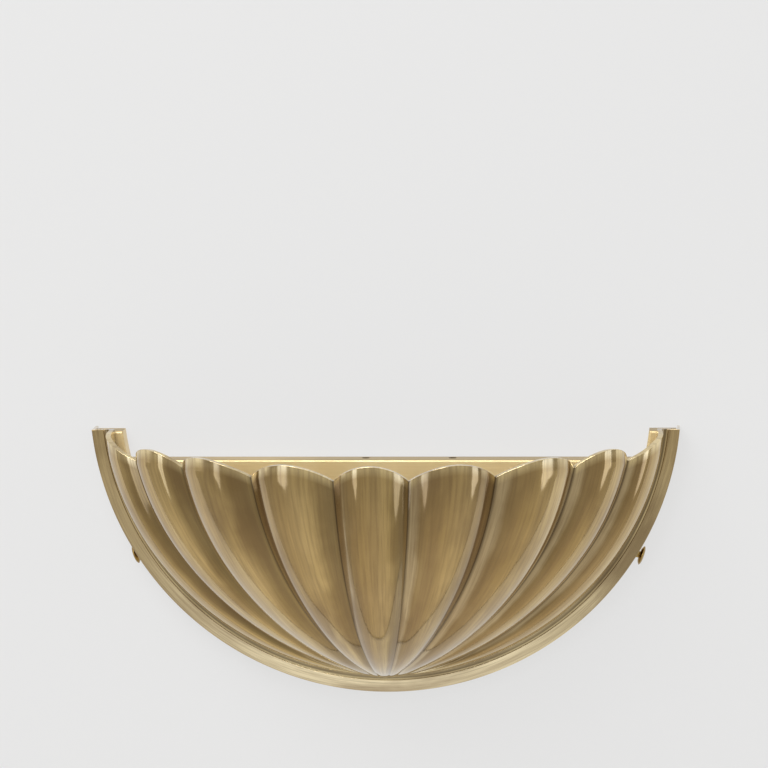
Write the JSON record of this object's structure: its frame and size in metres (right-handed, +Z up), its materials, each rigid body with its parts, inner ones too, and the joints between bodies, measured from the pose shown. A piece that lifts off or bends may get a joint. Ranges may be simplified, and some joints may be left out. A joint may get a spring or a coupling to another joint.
{
  "type": "wall sconce",
  "caption": "Uplight wall sconce: a fluted scallop-shell half bowl with a plain rim, held by thumbscrews over a slim wall pan.",
  "frame": {"origin": "on the wall plane, midway between the two wall-screw slots of the fixing strap", "axes": "+X right, +Z up, -Y out of the wall into the room"},
  "size_m": [0.3772, 0.1425, 0.1712],
  "materials": {
    "aged_brass_casting": "satin",
    "aged_brass_sheet": "satin",
    "polished_brass": "polished",
    "zinc_plated_steel": "satin",
    "green_screw": "satin",
    "green_yellow_sleeve": "satin",
    "lead_sleeve": "satin",
    "phenolic": "matt",
    "nickel_cap": "satin",
    "frosted_glass": "frosted",
    "black_rubber": "matt",
    "terminal_plastic": "matt"
  },
  "bodies": {
    "wall_frame": {"wall_pan": "aged_brass_sheet", "wall_strap": "zinc_plated_steel", "pan_screws": "polished_brass", "earth_lead": "green_yellow_sleeve", "ground_screw": "green_screw", "lamp_bracket": "zinc_plated_steel", "bracket_screws": "zinc_plated_steel", "bracket_nuts": "zinc_plated_steel", "nipple_left": "zinc_plated_steel", "nipple_nut_left": "polished_brass", "lamp_holder_left": "phenolic", "screw_sleeve_left": "polished_brass", "centre_contact_left": "polished_brass", "leads_left": "lead_sleeve", "thumb_bush_left": "polished_brass", "nipple_right": "zinc_plated_steel", "nipple_nut_right": "polished_brass", "lamp_holder_right": "phenolic", "screw_sleeve_right": "polished_brass", "centre_contact_right": "polished_brass", "leads_right": "lead_sleeve", "thumb_bush_right": "polished_brass", "cable_grommet": "black_rubber", "terminal_block": "terminal_plastic", "terminal_tubes": "polished_brass", "block_spacers": "terminal_plastic", "block_screws": "zinc_plated_steel"},
    "shell": {"shell": "aged_brass_casting"},
    "lamp_left": {"lamp_cap_left": "nickel_cap", "lamp_glass_left": "frosted_glass"},
    "lamp_right": {"lamp_cap_right": "nickel_cap", "lamp_glass_right": "frosted_glass"},
    "thumbscrew_left": {"thumbscrew_left": "polished_brass"},
    "thumbscrew_right": {"thumbscrew_right": "polished_brass"}
  },
  "joints": [
    {"name": "shell_lift_off", "type": "slide", "parent": "wall_frame", "child": "shell", "axis": [0, -1, 0], "range_m": [0, 0.15]},
    {"name": "lamp_left_unscrew", "type": "hinge", "parent": "wall_frame", "child": "lamp_left", "pos_m": [-0.01434, -0.045, -0.01809], "axis": [-0.9063, 0, 0.4226], "continuous": true},
    {"name": "lamp_right_unscrew", "type": "hinge", "parent": "wall_frame", "child": "lamp_right", "pos_m": [0.01434, -0.045, -0.01809], "axis": [0.9063, 0, 0.4226], "continuous": true},
    {"name": "thumbscrew_left_turn", "type": "hinge", "parent": "wall_frame", "child": "thumbscrew_left", "pos_m": [-0.1607, -0.0085, -0.00692], "axis": [-0.9397, 0, -0.342], "continuous": true},
    {"name": "thumbscrew_right_turn", "type": "hinge", "parent": "wall_frame", "child": "thumbscrew_right", "pos_m": [0.1607, -0.0085, -0.00692], "axis": [0.9397, 0, -0.342], "continuous": true}
  ]
}
